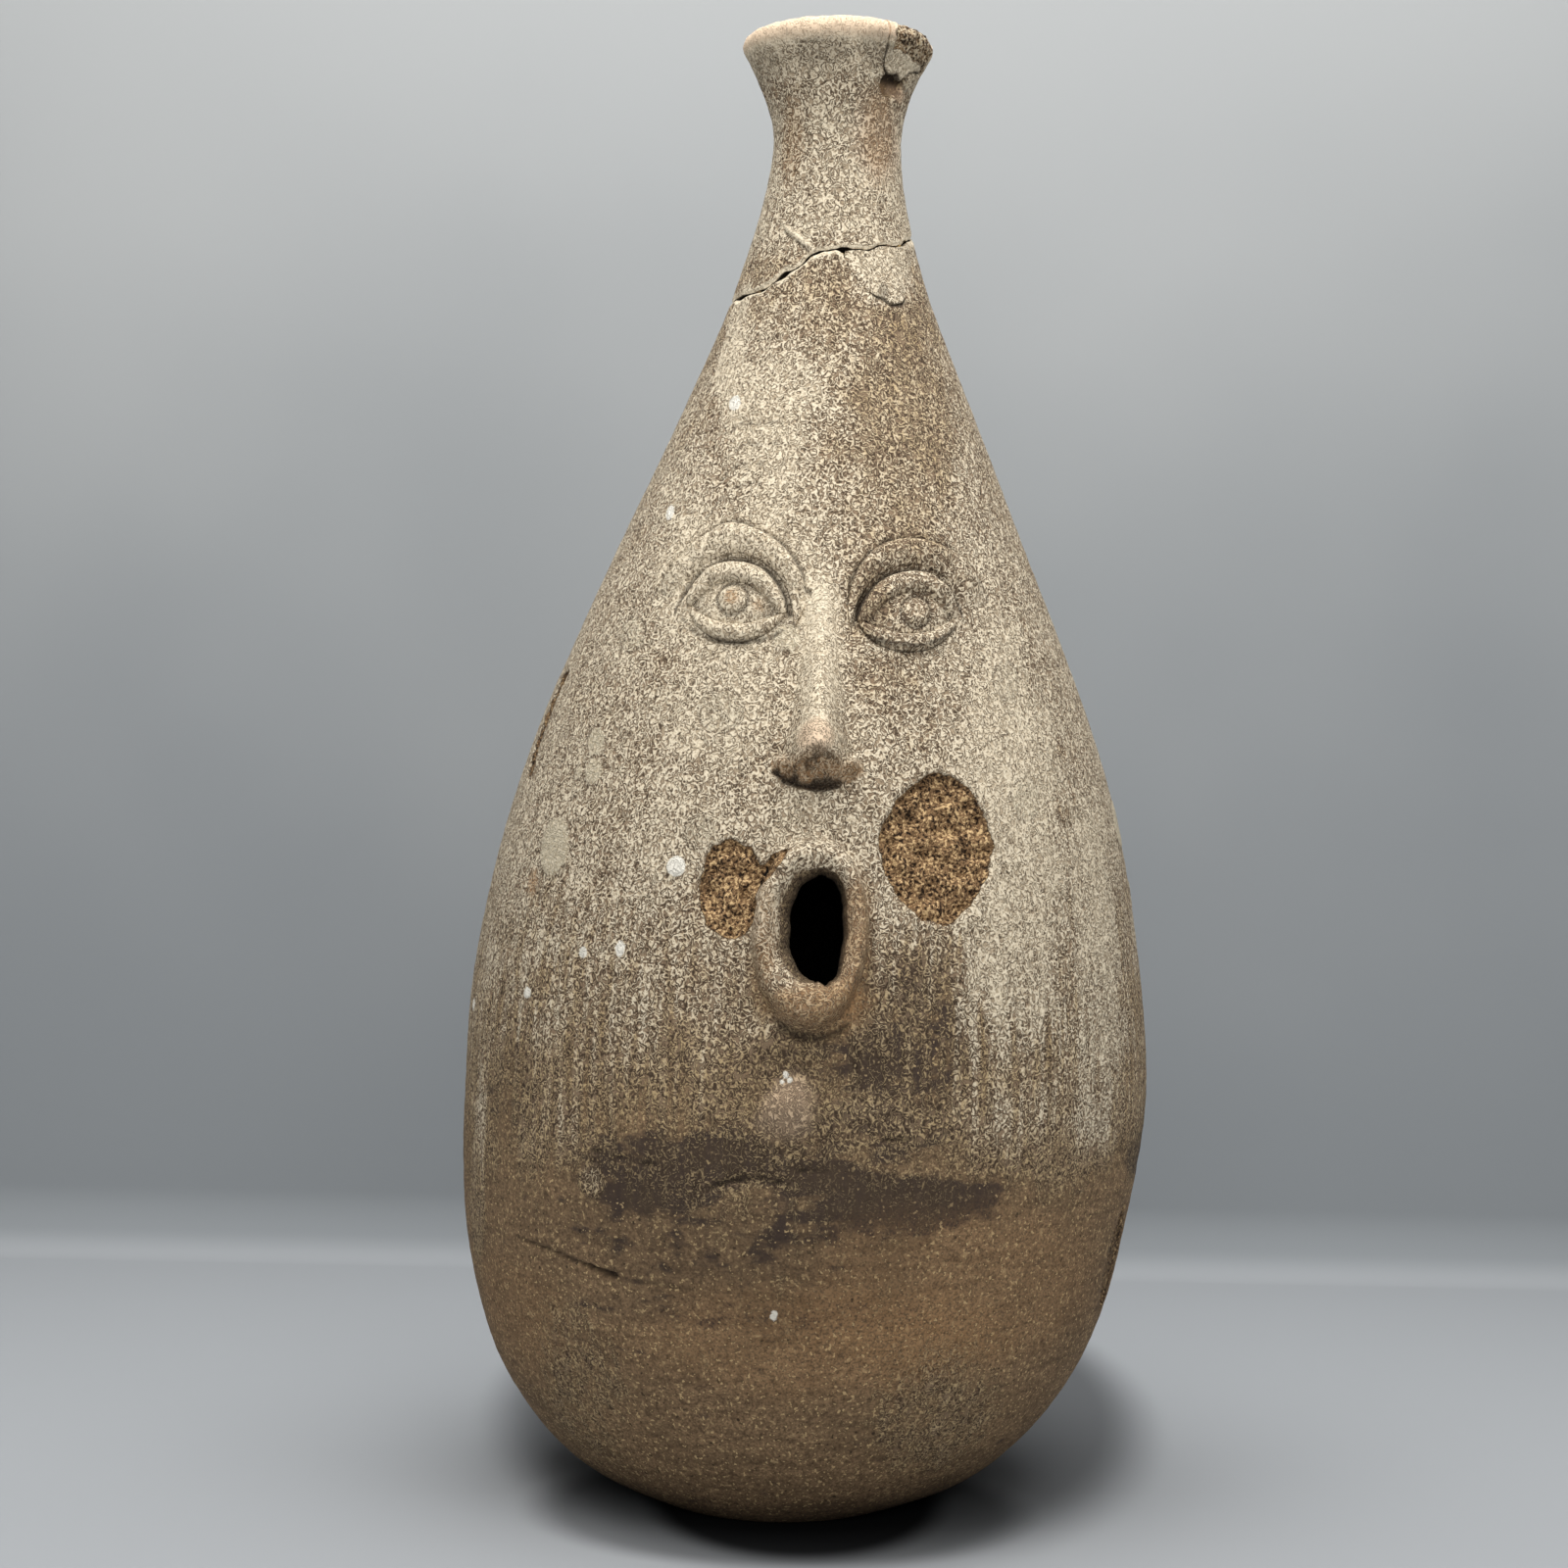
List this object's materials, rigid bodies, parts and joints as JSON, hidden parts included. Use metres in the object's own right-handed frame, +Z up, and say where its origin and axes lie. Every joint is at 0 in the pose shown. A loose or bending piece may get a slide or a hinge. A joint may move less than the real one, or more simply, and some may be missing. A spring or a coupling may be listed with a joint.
{
  "type": "face jug",
  "caption": "Tall pear-shaped stoneware bottle with a flared rim and a modelled face whose open mouth goes through the wall; a free-standing ornament or vase.",
  "frame": {"origin": "centre of the flat foot, on the surface that the jug stands on", "axes": "+Z up, the face looks along -Y, +X to the right of a person who looks at the face"},
  "size_m": [0.215, 0.2198, 0.4599],
  "materials": {
    "slipped_stoneware": "matt pale slip, crawled and weathered, over grogged stoneware",
    "bare_stoneware": "matt bare brown grogged stoneware",
    "old_glue": "yellowed repair glue"
  },
  "bodies": {
    "root": {"lower_body": "bare_stoneware", "upper_body": "slipped_stoneware", "shoulder_sherd": "slipped_stoneware", "neck": "slipped_stoneware", "rim_sherd": "slipped_stoneware", "nose": "slipped_stoneware", "mouth_lip": "slipped_stoneware", "left_eyeball": "slipped_stoneware", "left_iris": "slipped_stoneware", "left_upper_eyelid": "slipped_stoneware", "left_lower_eyelid": "slipped_stoneware", "left_brow": "slipped_stoneware", "right_eyeball": "slipped_stoneware", "right_iris": "slipped_stoneware", "right_upper_eyelid": "slipped_stoneware", "right_lower_eyelid": "slipped_stoneware", "right_brow": "slipped_stoneware", "neck_glue": "old_glue", "chin": "bare_stoneware"}
  },
  "joints": []
}
